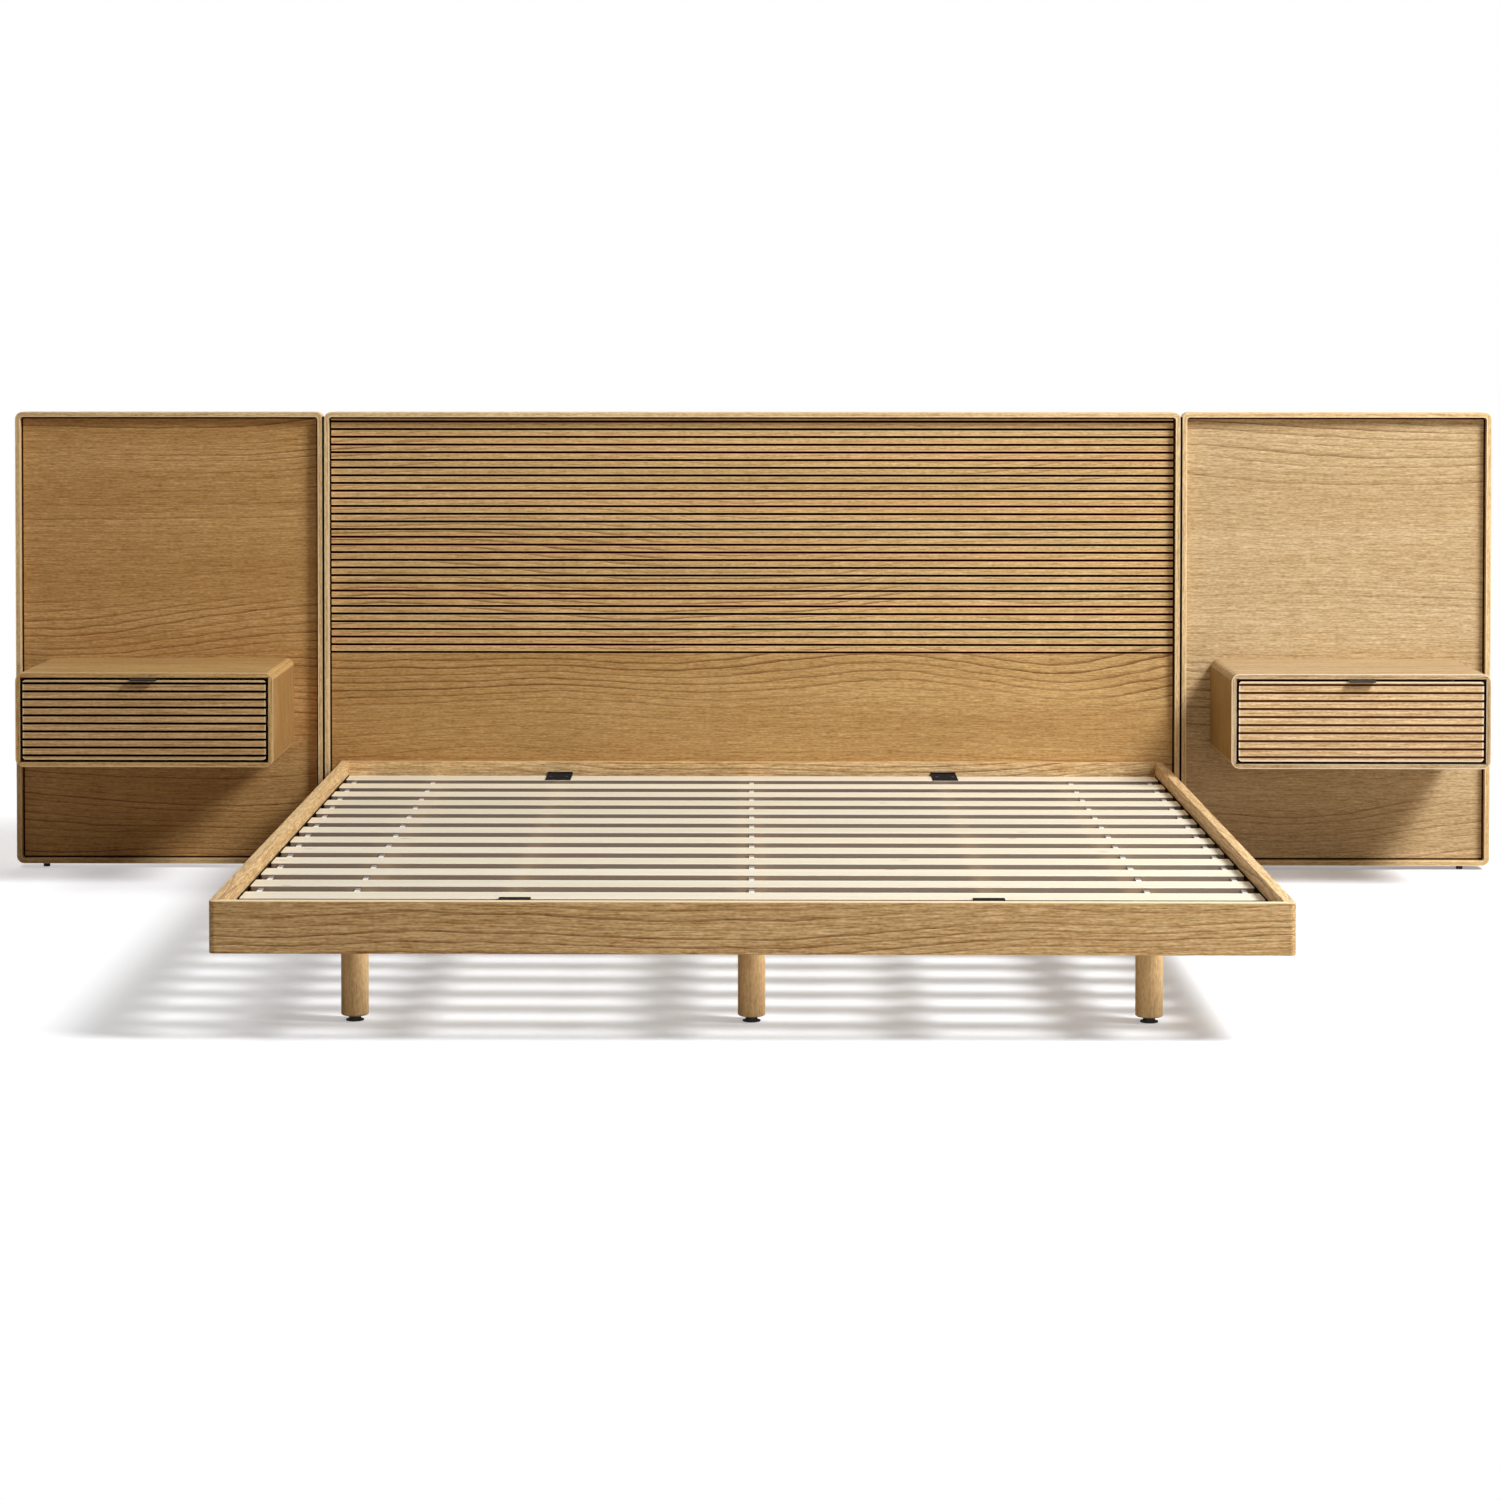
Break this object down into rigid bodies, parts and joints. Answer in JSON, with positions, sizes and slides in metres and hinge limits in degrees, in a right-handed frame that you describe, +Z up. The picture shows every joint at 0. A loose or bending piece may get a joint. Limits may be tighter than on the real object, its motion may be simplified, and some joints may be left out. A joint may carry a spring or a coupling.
{
  "type": "platform bed with attached nightstands",
  "caption": "Low oak platform bed with slats and turned legs, a wide grooved headboard in framed panels, and floating nightstands with sliding drawers.",
  "frame": {"origin": "on the floor under the middle of the whole", "axes": "+X to the right seen from the foot of the bed, +Y towards the headboard, +Z up"},
  "size_m": [3.566, 2.12, 1.106],
  "materials": {
    "oak": "clear satin oak veneer",
    "pale_slat_wood": "planed, unfinished",
    "softwood": "planed softwood, unfinished",
    "birch_plywood": "clear lacquered plywood",
    "bronzed_metal": "satin dark bronze",
    "black_steel": "black powder coat",
    "black_plastic": "matte black",
    "zinc_steel": "bright zinc plate",
    "cotton_tape": "woven cotton webbing"
  },
  "bodies": {
    "bed_frame": {"centre_grooved_board": "oak", "centre_plain_board": "oak", "centre_backing_board": "birch_plywood", "centre_edging": "oak", "left_panel_board": "oak", "left_edging": "oak", "right_panel_board": "oak", "right_edging": "oak", "headboard_battens": "softwood", "joining_plates": "zinc_steel", "joining_screws": "zinc_steel", "headboard_feet": "black_plastic", "left_side_rail": "oak", "right_side_rail": "oak", "foot_rail": "oak", "head_rail": "oak", "corner_blocks": "softwood", "corner_bolts": "zinc_steel", "headboard_bolts": "zinc_steel", "left_slat_ledger": "softwood", "right_slat_ledger": "softwood", "slats": "pale_slat_wood", "slat_tapes": "cotton_tape", "slat_brackets": "black_steel", "slat_bracket_screws": "zinc_steel", "left_joist": "softwood", "centre_joist": "softwood", "right_joist": "softwood", "support_bars": "softwood", "joist_hangers": "zinc_steel", "legs": "oak", "leg_studs": "zinc_steel", "leg_glides": "black_plastic", "left_case_top": "oak", "left_case_bottom": "oak", "left_case_outer_side": "oak", "left_case_inner_side": "oak", "left_case_back": "birch_plywood", "left_case_bolts": "zinc_steel", "left_runner_outers": "zinc_steel", "right_case_top": "oak", "right_case_bottom": "oak", "right_case_outer_side": "oak", "right_case_inner_side": "oak", "right_case_back": "birch_plywood", "right_case_bolts": "zinc_steel", "right_runner_outers": "zinc_steel"},
    "left_drawer": {"left_drawer_front": "oak", "left_drawer_box": "birch_plywood", "left_drawer_bottom": "birch_plywood", "left_drawer_pull": "bronzed_metal", "left_drawer_screws": "zinc_steel", "left_runner_inners": "zinc_steel"},
    "left_runner_middle": {"left_runner_middles": "zinc_steel"},
    "right_drawer": {"right_drawer_front": "oak", "right_drawer_box": "birch_plywood", "right_drawer_bottom": "birch_plywood", "right_drawer_pull": "bronzed_metal", "right_drawer_screws": "zinc_steel", "right_runner_inners": "zinc_steel"},
    "right_runner_middle": {"right_runner_middles": "zinc_steel"}
  },
  "joints": [
    {"name": "left_drawer_slide", "type": "slide", "parent": "bed_frame", "child": "left_drawer", "axis": [0, -1, 0], "range_m": [0, 0.28]},
    {"name": "left_runner_slide", "type": "slide", "parent": "bed_frame", "child": "left_runner_middle", "axis": [0, -1, 0], "range_m": [0, 0.14]},
    {"name": "right_drawer_slide", "type": "slide", "parent": "bed_frame", "child": "right_drawer", "axis": [0, -1, 0], "range_m": [0, 0.28]},
    {"name": "right_runner_slide", "type": "slide", "parent": "bed_frame", "child": "right_runner_middle", "axis": [0, -1, 0], "range_m": [0, 0.14]}
  ],
  "couplings": [
    {"joint": "left_runner_slide", "follows": "left_drawer_slide", "ratio": 0.5},
    {"joint": "right_runner_slide", "follows": "right_drawer_slide", "ratio": 0.5}
  ]
}
